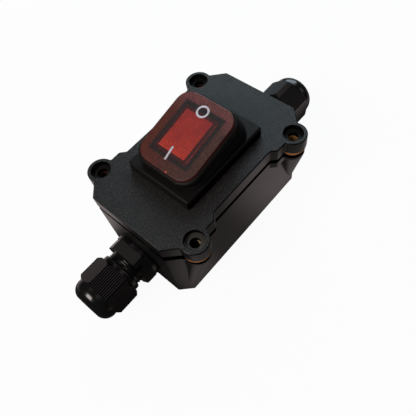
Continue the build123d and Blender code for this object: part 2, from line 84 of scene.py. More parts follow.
Lamp = namedtuple("Lamp", "name place width height brightness tint")
LAMP_AIM = Vector((0, 0, 0.02))
LAMPS = (
    Lamp("near_window", (-0.455, 0.064, 0.46), 0.28, 0.28, 10.0, (1.0, 0.97, 0.94)),
    Lamp("far_sky", (0.44, 0.30, 0.38), 0.50, 0.36, 4.0, (0.72, 0.90, 1.0)),
    Lamp("ceiling", (0.36, -0.48, 0.53), 0.5, 0.5, 0.5, (1.0, 0.96, 0.94)),
    Lamp("skylight", (0.024, 0.276, 0.75), 0.25, 0.25, 0.3, (1.0, 0.92, 0.9)),
    Lamp("room", (0.0, -0.41, 0.79), 0.3, 0.3, 0.35, (1.0, 0.94, 0.92)),
)

joints = {joint["name"]: joint for joint in frame["joints"]}
hinge = Vector(joints["rocker_tilt"]["pos_m"])
rest_tilt = -math.radians(sum(joints["rocker_tilt"]["range_deg"]) / 2)
rocker_place = Matrix.Translation(hinge) @ Matrix.Rotation(rest_tilt, 4, "Y")
gland_axis_z = joints["near_nut_turn"]["pos_m"][2]


def highest(node, place):
    """Highest point of a node, measured in a frame of its own."""
    back = place.inverted()
    return max((back @ vertex.co).z for vertex in frame["nodes"][node].data.vertices)


cap_top = highest("rocker_cap", rocker_place)
bezel_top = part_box("switch_bezel")[1].z
rim_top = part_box("base_shell")[1].z
lid_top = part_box("lid")[1].z


def mm(*values):
    """Lengths in metres from millimetres."""
    return [value * MM for value in values]


def shade(tone, share):
    """A share of a colour's brightness."""
    return [part * share for part in tone]


def colour(name, text, default):
    """A colour that a user may change."""
    return FloatVectorProperty(name=name, description=text, default=default, size=3, min=0, max=1,
                               subtype="COLOR")


def length(name, text, millimetres):
    """A length that a user may change."""
    return FloatProperty(name=name, description=text, default=millimetres * MM, min=0, unit="LENGTH",
                         precision=5)


def angle(name, text, degrees):
    """An angle that a user may change."""
    return FloatProperty(name=name, description=text, default=math.radians(degrees), unit="ROTATION")


def outline(name, text, millimetres):
    """Length, width and corner of an outline that a user may change."""
    return FloatVectorProperty(name=name, description=text, default=mm(*millimetres), size=3, min=0,
                               unit="LENGTH", precision=5)


def spot(name, text, millimetres):
    """A place in plan that a user may change."""
    return FloatVectorProperty(name=name, description=text, default=mm(*millimetres), size=2, unit="LENGTH",
                               precision=5)


def amount(name, text, default):
    """A share from 0 to 1 that a user may change."""
    return FloatProperty(name=name, description=text, default=default, min=0, max=1, subtype="FACTOR")


def strength(name, text, default):
    """A brightness that a user may change."""
    return FloatProperty(name=name, description=text, default=default, min=0)


class CaseSettings(bpy.types.PropertyGroup):
    """Case, gasket and washers."""

    lid_colour: colour("Lid", "Grained charcoal of the lid's top", (0.0065, 0.0042, 0.0036))
    recess_colour: colour("Recess floor", "Smooth floor of the screw recesses", (0.04, 0.035, 0.028))
    wall_colour: colour("Walls", "Satin black of the case's walls", (0.006, 0.0056, 0.0054))
    washer_colour: colour("Washers", "Orange rubber of the screw washers", (0.6, 0.24, 0.085))
    # The bores are painted shade, darker than the band: lighter in the far right washer, black in the nearest
    # with a painted highlight on its lit side.
    shaded_bore_colour: colour("Washer bore", "Stained rubber inside the washers", (0.06, 0.018, 0.008))
    lit_bore_colour: colour("Clean bore", "Bore of the cleanest washer", (0.35, 0.17, 0.05))
    glint_colour: colour("Bore glint", "Lit side of the nearest washer's bore", (0.42, 0.31, 0.16))
    grain_size: length("Grain", "Width of a grain on the lid's top", 0.38)
    grain_depth: length("Grain depth", "Height of the grain", 0.2)
    patch_size: length("Patches", "Width of the faint patches on the walls", 9)
    ear_place: spot("Ears", "Screw ears from the middle of the case", (23.4, 20.0))
    recess_radius: length("Recess", "Radius of the screw recesses", 3.34)
    recess_depth: length("Recess depth", "Depth past which a top is a recess's floor", 1.1)
    # Painted shade: the joint, ledge, corner and ear bands are black laid into the open joint where shade
    # falls.
    joint_shade_height: length("Joint", "Dark open joint between base and lid, above the rim", 1.8)
    ledge_shade_drop: length("Ledge", "Dark joint on the base's ledge, below the rim", 0.75)
    corner_shade_drop: length("Corner joint", "Dark joint at the corner chamfers, below the rim", 0.825)
    corner_start: length("Corner start", "Start of the corner chamfers from the middle of the case", 24.75)
    ear_shade_drop: length("Ear joint", "Dark joint at the ears, below the rim", 1.4)
    ear_shade_radius: length("Ear radius", "Radius of the dark joint at the ears", 4.95)
    # Painted shade on the lid's right-hand edges.
    edge_shade_height: length("Lid edge", "Height of the lid's dark right-hand edges", 0.375)
    edge_shade_start: length("Edge start", "Lowest of the lid's dark edges above the rim", 3.5)
    # Painted shade on the recess walls, and on the floors of all recesses but the nearest.
    recess_shade: amount("Recess shade", "Black on the walls of the screw recesses", 0.8)
    floor_shade: amount("Recess floor shade", "Black on the floors of all recesses but the nearest", 0.5)
    edge_shade: amount("Edge shade", "Black on the lid's right-hand edges", 0.7)
    # Painted shade under the gussets.
    gusset_shade: amount("Gusset shade", "Black under the gussets", 0.35)


class SwitchSettings(bpy.types.PropertyGroup):
    """Rocker switch, its boot and its marks."""

    black_colour: colour("Black", "Satin black of the bezel and the rocker's rim", (0.0046, 0.0040, 0.0037))
    black_sheen: colour("Black sheen", "Tint of the bezel's gloss", (0.92, 0.8, 0.75))
    bezel_shade: amount("Bezel shade", "Black low on the bezel's right side", 0.8)
    rubber_colour: colour("Rubber", "Matte black of the boot", (0.003, 0.003, 0.003))
    # The border colours paint light and shade over the red cap on the black rim: lighter at the left and far
    # end, darker at the right.
    border_lit_left: colour("Left border", "Red cap over the black rim, at the left", (0.135, 0.024, 0.013))
    border_shaded_right: colour("Right border", "Red cap over the black rim, at the right", (0.092, 0.032, 0.023))
    border_lit_far: colour("Far border", "Red cap over the black rim, at the far end", (0.2, 0.054, 0.05))
    band_colour: colour("Cap band", "Red cap over the dark light well", (0.018, 0.012, 0.011))
    halo_colour: colour("Halo", "Side of the lens block under the cap", (0.07, 0.012, 0.011))
    streak_colour: colour("Streak", "Lit edge of the lens block", (0.26, 0.03, 0.03))
    window_colour: colour("Window", "Lit red lens under the cap", (0.47, 0.034, 0.028))
    # Painted light: the window is painted brighter towards the near end with the glow colour.
    glow_colour: colour("Window glow", "Brighter patches of the lens", (0.8, 0.062, 0.032))
    grid_pitch: length("Lens grid", "Distance between the lines in the lens", 0.62)
    grid_share: amount("Grid share", "Strength of the lines in the lens", 0.85)
    streak_fade: amount("Streak fade", "Loss of the lit edge towards the far end", 0.55)
    # A bright orange dot on the cap's near edge.
    bright_dot_colour: colour("Gate", "Bright gate spot on the cap's near edge", (0.75, 0.09, 0.05))
    bright_dot_place: spot("Gate place", "Gate spot from the rocker's axis", (-12.45, -2.53))
    edge_colour: colour("Cap edge", "Side of the red cap", (0.2, 0.012, 0.012))
    mark_colour: colour("Marks", "White print on the cap", (0.72, 0.66, 0.72))
    ring_diameter: length("O diameter", "Outer diameter of the O mark", 4.2)
    ring_stroke: length("O stroke", "Width of the O mark's line", 0.66)
    ring_along: length("O place", "Middle of the O mark from the cap's middle", 8.43)
    ring_aside: length("O aside", "O mark beside the cap's middle line", 0.35)
    bar_length: length("I length", "Length of the I mark", 4.6)
    bar_stroke: length("I stroke", "Width of the I mark's line", 0.68)
    bar_along: length("I place", "Middle of the I mark from the cap's middle", 7.32)
    bar_aside: length("I aside", "I mark beside the cap's middle line", 0.61)
    bar_turn: angle("I turn", "Angle of the I mark, which is printed a little askew", 6.5)
    print_height: length("Print height", "Height of the marks over the cap", 0.04)
    boot_foot: outline("Boot foot", "Length, width and corner of the boot on the bezel", (25.77, 23.4, 3.5))
    boot_fold: outline("Boot fold", "Length, width and corner of the boot's fold", (28.25, 23.85, 5.95))
    boot_head: outline("Boot head", "Length, width and corner of the boot at the rocker", (25.95, 21.55, 4.8))
    boot_wall: length("Boot wall", "Thickness of the boot", 0.5)


class GearSettings(bpy.types.PropertyGroup):
    """Contact gear inside the switch."""

    brass_colour: colour("Brass", "Contacts and blades", (0.72, 0.53, 0.24))
    steel_colour: colour("Steel", "Plunger springs", (0.55, 0.55, 0.56))
    glass_dark: colour("Dark glass", "Smoked part of the lamp's glass", (0.8, 0.6, 0.42))
    glass_clear: colour("Clear glass", "Clear part of the lamp's glass", (0.9, 0.75, 0.6))
    coat_dark: colour("Dark coat", "Dusty part of the resistor's coat", (0.5, 0.4, 0.28))
    coat_pale: colour("Pale coat", "Clean part of the resistor's coat", (0.64, 0.54, 0.4))


class GlandSettings(bpy.types.PropertyGroup):
    """Cable glands."""

    nylon_colour: colour("Nylon", "Black of the glands", (0.0034, 0.0032, 0.0032))
    nylon_sheen: colour("Nylon sheen", "Tint of the glands' gloss", (1.0, 0.94, 0.92))
    # Painted shade on the plain strips beside the near nut's ribs.
    strip_turn: angle("Strip turn", "Angle of the first flat with a dark plain strip", 27.5)
    strip_reach: length("Strip reach", "Distance of the plain strips from the gland's axis", 7.35)
    strip_aside: length("Strip aside", "Start of a plain strip from the middle of its flat", 2.65)
    strip_start: length("Strip start", "Start of the near nut's strips from the middle of the case", 36.05)
    strip_shade: amount("Strip shade", "Black on the plain strips", 0.75)
    thread_pitch: length("Thread pitch", "Distance between thread crests", 0.7)
    thread_height: length("Thread height", "Height of a thread crest", 0.3)
    neck_diameter: length("Neck", "Diameter of the bare neck", 12.4)
    thread_start: length("Thread start", "Start of the thread from the end wall", 6.15)
    thread_end: length("Thread end", "End of the thread from the end wall", 8.25)


class StageSettings(bpy.types.PropertyGroup):
    """Camera, light and floor."""

    camera_place: FloatVectorProperty(name="Camera", description="Place of the camera", size=3,
                                      subtype="TRANSLATION", unit="LENGTH",
                                      default=(-0.052228, -0.066304, 0.141068))
    camera_turn: FloatVectorProperty(name="Camera turn", description="Angles of the camera", size=3,
                                     subtype="EULER", unit="ROTATION",
                                     default=[math.radians(turn) for turn in (29.994, 6.561, -49.042)])
    lens: FloatProperty(name="Lens", description="Focal length on a 36 mm sensor", default=37.46,
                        unit="CAMERA")
    shift_x: FloatProperty(name="Shift X", description="Sideways shift of the lens", default=0.0015)
    shift_y: FloatProperty(name="Shift Y", description="Upward shift of the lens", default=-0.0036)
    floor_colour: colour("Floor", "Pale floor", (0.9, 0.9, 0.9))
    floor_bounce: colour("Floor bounce", "Floor as it lights the object from below", (0.26, 0.25, 0.24))
    # The floor tints and gleams paint a reflection that only the object's gloss shows: warm near, bluish far,
    # with a painted shadow close to the object.
    floor_tint: colour("Floor tint", "Warm tint of the floor in the object's gloss", (1.0, 0.87, 0.84))
    floor_far_tint: colour("Far floor", "Tint of the far floor in the object's gloss", (0.475, 0.574, 0.647))
    floor_dim: amount("Floor dim", "Floor close to the object, in the object's gloss", 0.02)
    floor_gleam: amount("Floor gleam", "Open floor in the object's gloss", 0.27)
    floor_far_gleam: strength("Far gleam", "Brightening of that floor towards the far end", 1.42)
    floor_white: amount("Floor white", "White share of the floor, which takes no shadow", 0.95)
    fill_colour: colour("Fill colour", "Colour of the even light from all round", (0.94, 0.97, 1.0))
    fill_strength: strength("Fill", "Even light from all round", 0.05)


class Signal:
    """A shader socket that takes part in Python sums; each operation adds its Math node."""

    def __init__(self, nodes, socket):
        self.nodes = nodes
        self.socket = socket

    def math(self, operation, *operands):
        return self.nodes.node("ShaderNodeMath", {"operation": operation}, dict(enumerate(operands)))

    def __add__(self, other):
        return self.math("ADD", self, other)

    def __sub__(self, other):
        return self.math("SUBTRACT", self, other)

    def __rsub__(self, other):
        return self.math("SUBTRACT", other, self)

    def __neg__(self):
        return 0 - self

    def __mul__(self, other):
        return self.math("MULTIPLY", self, other)

    def __truediv__(self, other):
        return self.math("DIVIDE", self, other)

    def __rtruediv__(self, other):
        return self.math("DIVIDE", other, self)

    def __mod__(self, other):
        return self.math("FLOORED_MODULO", self, other)

    def __rmod__(self, other):
        return self.math("FLOORED_MODULO", other, self)

    def __abs__(self):
        return self.math("ABSOLUTE", self)

    __radd__ = __add__
    __rmul__ = __mul__

    def root(self):
        return self.math("SQRT", self)

    def larger(self, *others):
        """The largest of some signals."""
        most = self
        for other in others:
            most = self.math("MAXIMUM", most, other)
        return most

    def smaller(self, other):
        return self.math("MINIMUM", self, other)

    def rising(self, low, high):
        """0 below low, 1 above high, smooth between."""
        return self.nodes.node("ShaderNodeMapRange", {"interpolation_type": "SMOOTHSTEP"},
                               {"Value": self, "From Min": low, "From Max": high})

    def past(self, edge, blur=0.1 * MM):
        """0 before an edge, 1 past it, with a short blur."""
        return self.rising(edge - blur / 2, edge + blur / 2)


class Nodes:
    """A node tree, and the one way to add a node to it."""

    def __init__(self, tree):
        self.tree = tree

    def feed(self, socket, value):
        """Give a socket a value or a link."""
        if isinstance(value, Signal):
            self.tree.links.new(value.socket, socket)
        elif socket.type == "RGBA":
            socket.default_value = (*value[:3], 1)
        else:
            socket.default_value = value

    def node(self, kind, settings, inputs, output=0):
        """Add a node: its settings first, then the values or links of its sockets."""
        made = self.tree.nodes.new(kind)
        for name, value in settings.items():
            setattr(made, name, value)
        for name, value in inputs.items():
            self.feed(made.inputs[name], value)
        return Signal(self, made.outputs[output])

    def ray(self, kind):
        """1 for rays of a kind, 0 for others."""
        return self.node("ShaderNodeLightPath", {}, {}, f"Is {kind} Ray")

    def mix(self, a, b, factor):
        """Blend of two colours."""
        return self.node("ShaderNodeMix", {"data_type": "RGBA"}, {0: factor, 6: a, 7: b}, 2)

    def split(self, vector):
        """The three parts of a vector."""
        parts = self.node("ShaderNodeSeparateXYZ", {}, {"Vector": vector})
        return [Signal(self, socket) for socket in parts.socket.node.outputs]

    def take_over(self, output, shader, other, factor):
        """Show another shader where the factor is 1."""
        own = Signal(self, shader.outputs[0])
        mixed = self.node("ShaderNodeMixShader", {}, {0: factor, 1: own, 2: other})
        self.feed(self.tree.nodes[output].inputs["Surface"], mixed)


class Finish(Nodes):
    """A material with one shader, and the nodes that feed it."""

    def __init__(self, name, constants):
        self.material = bpy.data.materials.new(name)
        self.material.use_nodes = True
        super().__init__(self.material.node_tree)
        self.shader = self.tree.nodes["Principled BSDF"]
        for socket, value in constants.items():
            self.set(socket, value)

    def set(self, socket, value):
        """Give one of the shader's sockets a value or a link."""
        self.feed(self.shader.inputs[socket], value)

    def place(self):
        """Object coordinates."""
        return self.node("ShaderNodeTexCoord", {}, {}, "Object")

    def normal(self):
        """The three parts of the way that a surface faces."""
        return self.split(self.node("ShaderNodeNewGeometry", {}, {}, "Normal"))

    def noise(self, width, detail=2, roughness=0.5):
        """Soft noise with features about as wide as given, from 0 to 1."""
        inputs = {"Vector": self.place(), "Scale": 1 / width, "Detail": detail, "Roughness": roughness}
        return self.node("ShaderNodeTexNoise", {"normalize": True}, inputs)

    def vary(self, tone, mask, start=1, end=1):
        """A colour whose brightness goes from one share to another, as a mask goes from 0 to 1."""
        return self.mix(shade(tone, start), shade(tone, end), mask)

    def roughen(self, mask, low, high):
        """Roughness from low to high, as a mask goes from 0 to 1."""
        self.set("Roughness", low + mask * (high - low))

    def bump(self, height, distance):
        """Height from 0 to 1 as relief of that depth."""
        inputs = {"Strength": 1, "Distance": distance, "Height": height}
        self.set("Normal", self.node("ShaderNodeBump", {}, inputs))

    def cover(self, other, factor):
        """Let another shader take over where the factor is 1."""
        self.take_over("Material Output", self.shader, other, factor)

    def darken(self, factor):
        """Let plain black take over where the factor is 1."""
        self.cover(self.node("ShaderNodeBsdfDiffuse", {}, {"Color": BLACK}), factor)


def dress(finish, *nodes):
    """Put a finish on CAD nodes."""
    for name in nodes:
        materials = frame["nodes"][name].data.materials
        materials.clear()
        materials.append(finish.material)


def piece(name, shape, finish):
    """Turn a finished bmesh into a smooth piece at the origin."""
    mesh = bpy.data.meshes.new(name)
    bmesh.ops.recalc_face_normals(shape, faces=shape.faces)
    shape.to_mesh(mesh)
    shape.free()
    mesh.shade_smooth()
    mesh.materials.append(finish.material)
    made = bpy.data.objects.new(name, mesh)
    bpy.context.scene.collection.objects.link(made)
    return made


def both(stem, names):
    """The two nodes of a pair."""
    return [f"{stem}_{name}" for name in names]


def outside(x, y, low, high):
    """How far a point is outside a rectangle, whose corners are given in millimetres."""
    middle = [(a + b) / 2 * MM for a, b in zip(low, high)]
    half = [(b - a) / 2 * MM for a, b in zip(low, high)]
    return (abs(x - middle[0]) - half[0]).larger(abs(y - middle[1]) - half[1])


def from_ear(x, y, settings):
    """Distance from the axis of the nearest screw ear."""
    across = abs(x) - settings.ear_place[0]
    along = abs(y) - settings.ear_place[1]
    return (across * across + along * along).root()


def other_ears(x, y):
    """0 round the near right ear, 1 round the other ears."""
    return (x + y).rising(*mm(-38, -10))


def recess_floor(settings, z, up):
    """1 on the floors of the screw recesses."""
    return up * (lid_top - z).past(settings.recess_depth, 0.2 * MM)


def case_shade(finish, settings, up):
    """Share of painted shade (plain black) on the case: in its joint and recesses, under the gussets, on
    right-hand edges.
    """
    x, y, z = finish.split(finish.place())
    across, aside, facing = finish.normal()
    depth = lid_top - z
    rise = z - rim_top
    axis = from_ear(x, y, settings)
    # Painted shade in the joint: above the rim, on the ledge, at the corner chamfers and round the ears.
    joint_edge, joint_blur = mm(0.05, 0.06)
    over_rim = rise.past(joint_edge, joint_blur)
    under_lid = (settings.joint_shade_height - rise).past(joint_edge, joint_blur)

    ledge = up * rise.past(-settings.ledge_shade_drop)
    slanted = abs(across * aside).rising(0.1, 0.2)
    chamfer = slanted * abs(x).past(settings.corner_start, 0.5 * MM)
    corner = chamfer * rise.past(-settings.corner_shade_drop, 0.05 * MM)
    ear = (1 - axis.past(settings.ear_shade_radius)) * rise.past(-settings.ear_shade_drop)
    joint = over_rim.larger(ledge, corner, ear) * under_lid

    # Painted shade on the recess walls, and on the floors of all recesses but the nearest.
    in_recess = 1 - axis.past(settings.recess_radius, 0.08 * MM)
    below_edge = depth.past(*mm(0.2, 0.2)) * (1 - under_lid)
    recess = in_recess * below_edge * (1 - up)
    floor = recess_floor(settings, z, up) * other_ears(x, y)

    # Painted shade under the gussets and on the lid's right-hand edges.
    overhung = (-facing).rising(0.1, 0.2)
    gusset = overhung * (1 - over_rim)
    right_hand = (-aside).rising(0.12, 0.3)
    on_lid = rise.past(settings.edge_shade_start, 1 * MM) * (1 - depth.past(settings.edge_shade_height, 0.15 * MM))
    edge = right_hand * on_lid
    return joint.larger(recess * settings.recess_shade, floor * settings.floor_shade,
                        edge * settings.edge_shade, gusset * settings.gusset_shade)


def grained_case(settings):
    """Moulded case: spark-eroded grain on what faces up, satin walls, and painted shade in the joint."""
    finish = Finish("case_plastic", {"IOR": PLASTIC_IOR})
    x, y, z = finish.split(finish.place())
    _, _, facing = finish.normal()
    up = facing.rising(0.75, 0.95)
    grain = finish.noise(settings.grain_size, detail=1, roughness=0.6)
    patches = finish.noise(settings.patch_size)
    lid = finish.vary(settings.lid_colour, grain.rising(0.47, 0.75), start=0.1, end=7)
    # The floors of all recesses but the nearest are darker: painted shade.
    floor = finish.vary(settings.recess_colour, other_ears(x, y), end=0.2)
    top = finish.mix(lid, floor, recess_floor(settings, z, up))
    wall = finish.vary(settings.wall_colour, patches, end=1.35)
    finish.set("Base Color", finish.mix(wall, top, up))
    wall_roughness = 0.33 + patches * 0.06
    added_on_top = 0.14 + grain * 0.1
    finish.set("Roughness", wall_roughness + up * added_on_top)
    finish.bump(grain * up, settings.grain_depth)
    finish.darken(case_shade(finish, settings, up))
    return finish


def washer_rubber(settings):
    """Orange rubber with painted shade in the bores: lighter in the far right one, black in the nearest but
    for a painted glint.
    """
    finish = Finish("washer_rubber", {"IOR": PLASTIC_IOR})
    x, y, _ = finish.split(finish.place())
    others = other_ears(x, y)
    far_right = (x - y).rising(*mm(10, 40))
    lit_side = (x + settings.ear_place[0]).past(*mm(1.42, 0.12))
    # Painted shade in the bores, black in the nearest washer, with a painted highlight on its lit side.
    bore = finish.mix(settings.shaded_bore_colour, settings.lit_bore_colour, far_right)
    bore = finish.mix(BLACK, bore, others)
    bore = finish.mix(bore, settings.glint_colour, lit_side * (1 - others))
    mottle = finish.noise(1.2 * MM, detail=3)
    band = finish.vary(settings.washer_colour, mottle, start=0.75)
    outward = from_ear(x, y, settings).rising(*mm(2.2, 3.4))
    finish.set("Base Color", finish.mix(bore, band, outward))
    finish.roughen(mottle, low=0.5, high=0.65)
    return finish


def satin_black(settings):
    """Bezel, rocker rim and housing: satin moulded black with a faint grain, and painted shade low on the
    right side.
    """
    finish = Finish("switch_plastic", {"IOR": PLASTIC_IOR, "Specular IOR Level": 0.2,
                                       "Specular Tint": settings.black_sheen})
    grain = finish.noise(0.35 * MM, detail=3, roughness=0.6)
    finish.set("Base Color", finish.vary(settings.black_colour, grain, end=1.7))
    finish.roughen(grain, low=0.44, high=0.6)
    finish.bump(grain, 0.02 * MM)
    _, _, z = finish.split(finish.place())
    _, aside, _ = finish.normal()
    # Painted shade low on the bezel's right side.
    low = (bezel_top - z).rising(*mm(0.8, 1.4))
    right_side = (-aside).rising(0.3, 0.6)
    finish.darken(low * right_side * settings.bezel_shade)
    return finish


def lens_window(finish, settings, x, y):
    """Lit lens with a fine square grid, with painted light towards the near end."""
    pitch = settings.grid_pitch
    columns, rows = (abs((along % pitch) / pitch - 0.5).rising(0.25, 0.45) for along in (x, y))
    # Painted light, brighter towards the near end.
    gain_per_metre = 40
    near_light = (finish.noise(5 * MM) - x * gain_per_metre).rising(0.2, 0.8)
    window = finish.mix(settings.window_colour, settings.glow_colour, near_light)
    line = shade(settings.window_colour, 0.4)
    return finish.mix(window, line, columns.larger(rows) * settings.grid_share)


def lens_side(finish, settings, x, y):
    """Side of the lens block, with a lit edge that fades towards the far end."""
    streak = 1 - outside(x, y, *LENS_STREAK).past(*mm(0.05, 0.2))
    fading = 1 - x.rising(*mm(-3, -1)) * settings.streak_fade
    return finish.mix(settings.halo_colour, settings.streak_colour, streak * fading)


def red_cap(settings):
    """Cap with a lit window: red lens, dark light well round it, and a border over the black rim with painted
    light and shade.
    """
    finish = Finish("cap_plastic", {"IOR": PLASTIC_IOR})
    untilted = {"Vector": finish.place(), "Location": -(Matrix.Rotation(-rest_tilt, 3, "Y") @ hinge),
                "Rotation": (0, -rest_tilt, 0)}
    x, y, z = finish.split(finish.node("ShaderNodeMapping", {"vector_type": "POINT"}, untilted))
    speckle = finish.noise(0.45 * MM, detail=3, roughness=0.65)

    beside = outside(x, y, *LENS).past(0, 0.16 * MM)
    face = finish.mix(lens_window(finish, settings, x, y), lens_side(finish, settings, x, y), beside)
    band = finish.vary(settings.band_colour, speckle, start=0.7, end=1.5)
    face = finish.mix(face, band, outside(x, y, *LENS_BLOCK).past(*mm(0.05, 0.9)))
    # Painted light and shade across the border: lighter at the left and far end, darker at the right.
    border = finish.mix(settings.border_shaded_right, settings.border_lit_left, y.rising(*mm(-8, 8)))
    border = finish.mix(border, settings.border_lit_far, x.rising(*mm(4, 11)))
    face = finish.mix(face, border, outside(x, y, *LIGHT_WELL).past(0, 0.9 * MM))

    soot = 1 - speckle.rising(0.38, 0.62)
    soot_share = 0.36 + beside * 0.24
    face = finish.mix(face, BLACK, soot * soot_share)
    # A bright orange dot on the cap's near edge.
    dot_x, dot_y = settings.bright_dot_place
    off_dot = abs(x - dot_x).larger(abs(y - dot_y)).past(*mm(0.23, 0.22))
    face = finish.mix(settings.bright_dot_colour, face, off_dot)
    on_top = (z - cap_top).past(*mm(-0.21, 0.18))
    finish.set("Base Color", finish.mix(settings.edge_colour, face, on_top))
    finish.roughen(speckle, low=0.36, high=0.52)
    finish.bump(speckle, 0.01 * MM)
    return finish


def black_nylon(settings):
    """Glossy moulded nylon with faint flow marks; the near nut has painted shade on the plain strips beside
    its ribs.
    """
    finish = Finish("gland_nylon", {"IOR": NYLON_IOR, "Specular Tint": settings.nylon_sheen})
    flow = finish.noise(3 * MM, detail=3)
    fine = finish.noise(0.4 * MM)
    finish.set("Base Color", finish.vary(settings.nylon_colour, flow, end=1.6))
    finish.set("Roughness", 0.13 + flow * 0.1 + fine * 0.05)
    finish.bump(fine, 0.004 * MM)

    # Painted shade on the near nut's plain strips beside its ribs.
    x, y, z = finish.split(finish.place())
    rise = z - gland_axis_z
    strips = []
    for third in range(3):
        turn = settings.strip_turn + math.tau * third / 3
        outward = rise * math.cos(turn) - y * math.sin(turn)
        aside = rise * math.sin(turn) + y * math.cos(turn)
        strips.append(outward.past(settings.strip_reach) * (-aside).past(settings.strip_aside, 0.2 * MM))
    near_nut = (-x).past(settings.strip_start)
    finish.darken(strips[0].larger(*strips[1:]) * near_nut * settings.strip_shade)
    return finish


def mottled(name, constants, tones, roughness, width, detail=2):
    """Plain finish whose colour and roughness vary together with soft noise."""
    finish = Finish(name, constants)
    mottle = finish.noise(width, detail)
    finish.set("Base Color", finish.mix(*tones, mottle))
    finish.roughen(mottle, *roughness)
    return finish


def black_rubber(name, settings):
    """Matte rubber with a faint bloom."""
    return mottled(name, {"IOR": PLASTIC_IOR, "Specular IOR Level": 0.17}, width=2.5 * MM, detail=4,
                   tones=(settings.rubber_colour, shade(settings.rubber_colour, 1.8)), roughness=(0.5, 0.7))


def mark_print(settings):
    """White print, a little uneven."""
    return mottled("mark_print", {"IOR": PLASTIC_IOR}, width=0.5 * MM, detail=3,
                   tones=(shade(settings.mark_colour, 0.93), settings.mark_colour), roughness=(0.5, 0.6))


def contact_metal(name, tone, roughness):
    """Bright contact metal with drawn marks."""
    return mottled(name, {"Metallic": 1.0}, width=0.6 * MM, detail=4, tones=(shade(tone, 0.75), tone),
                   roughness=roughness)


def lamp_glass(settings):
    """Smoked glass of the indicator lamp."""
    return mottled("lamp_glass", {"IOR": PLASTIC_IOR, "Transmission Weight": 0.6}, width=2 * MM,
                   tones=(settings.glass_dark, settings.glass_clear), roughness=(0.08, 0.18))


def resistor_coat(settings):
    """Dusty ceramic coat of the lamp's resistor."""
    return mottled("resistor_ceramic", {"IOR": PLASTIC_IOR}, width=0.6 * MM, detail=3,
                   tones=(settings.coat_dark, settings.coat_pale), roughness=(0.5, 0.7))


class SWITCHBOX_OT_case(bpy.types.Operator):
    """Finish the lid, the base and the washers"""

    bl_idname = "switch_box.case"
    bl_label = "Case"

    def execute(self, context):
        settings = context.scene.switch_box_case
        dress(grained_case(settings), "lid", "base_shell")
        dress(washer_rubber(settings), "screw_washers")
        return {"FINISHED"}


class SWITCHBOX_OT_switch(bpy.types.Operator):
    """Finish the bezel, the rocker and the red cap"""

    bl_idname = "switch_box.switch"
    bl_label = "Rocker switch"

    def execute(self, context):
        settings = context.scene.switch_box_switch
        dress(satin_black(settings), "switch_bezel", "switch_housing", "rocker_frame",
              *both("plunger", POLES))
        dress(red_cap(settings), "rocker_cap")
        return {"FINISHED"}


class SWITCHBOX_OT_contact_gear(bpy.types.Operator):
    """Finish the contacts, blades, springs, lamp and resistor inside the switch"""

    bl_idname = "switch_box.contact_gear"
    bl_label = "Contact gear"

    def execute(self, context):
        settings = context.scene.switch_box_gear
        brass = contact_metal("contact_brass", settings.brass_colour, roughness=(0.25, 0.37))
        steel = contact_metal("spring_steel", settings.steel_colour, roughness=(0.22, 0.34))
        for stem in ("contact_seesaw", "common_terminal", "load_terminal"):
            dress(brass, *both(stem, POLES))
        dress(steel, *both("plunger_spring", POLES))
        dress(lamp_glass(settings), "indicator_lamp")
        dress(resistor_coat(settings), "lamp_resistor")
        return {"FINISHED"}


class SWITCHBOX_OT_boot(bpy.types.Operator):
    """Fold the boot between the bezel and the rocker, and finish it and the lid's gasket"""

    bl_idname = "switch_box.boot"
    bl_label = "Boot"

    LEVELS = 24
    CORNER_STEPS = 10
    FOLD_FULLNESS = 0.8

    def execute(self, context):
        settings = context.scene.switch_box_switch
        finish = black_rubber("boot_rubber", settings)
        dress(finish, "lid_gasket")
        foot_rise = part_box("boot_bellows")[0].z - hinge.z
        head_rise = highest("boot_bellows", rocker_place)
        shape = bmesh.new()
        below = None
        for level in range(self.LEVELS + 1):
            share = level / self.LEVELS
            place = Matrix.Translation(hinge) @ Matrix.Rotation(rest_tilt * share, 4, "Y")
            rise = foot_rise + (head_rise - foot_rise) * share
            ring = self.ring(shape, self.size_at(settings, share), place @ Matrix.Translation((0, 0, rise)))
            if below:
                bmesh.ops.bridge_loops(shape, edges=below + ring)
            below = ring
        bmesh.ops.recalc_face_normals(shape, faces=shape.faces)
        bmesh.ops.solidify(shape, geom=shape.faces[:], thickness=settings.boot_wall)
        boot = piece("boot_folds", shape, finish)
        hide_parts("boot_bellows")
        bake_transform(boot)
        return {"FINISHED"}

    def size_at(self, settings, share):
        """Length, width and corner of the boot at a share of the way from foot to head."""
        straight = Vector(settings.boot_foot).lerp(Vector(settings.boot_head), share)
        middle = Vector(settings.boot_foot).lerp(Vector(settings.boot_head), 0.5)
        fold = Vector(settings.boot_fold) - middle
        return straight + fold * math.sin(math.pi * share) ** self.FOLD_FULLNESS

    def ring(self, shape, size, place):
        """A rounded outline in its place; gives its edges."""
        corners = bmesh.ops.create_grid(shape, x_segments=1, y_segments=1, size=0.5)["verts"]
        bmesh.ops.scale(shape, vec=(size.x, size.y, 1), verts=corners)
        made = bmesh.ops.bevel(shape, geom=corners, offset=size.z, offset_type="OFFSET",
                               segments=self.CORNER_STEPS, profile=0.5, affect="VERTICES", material=-1)
        face = next(face for vertex in made["verts"] for face in vertex.link_faces)
        verts = face.verts[:]
        edges = face.edges[:]
        bmesh.ops.delete(shape, geom=[face], context="FACES_ONLY")
        bmesh.ops.transform(shape, matrix=place, verts=verts)
        return edges


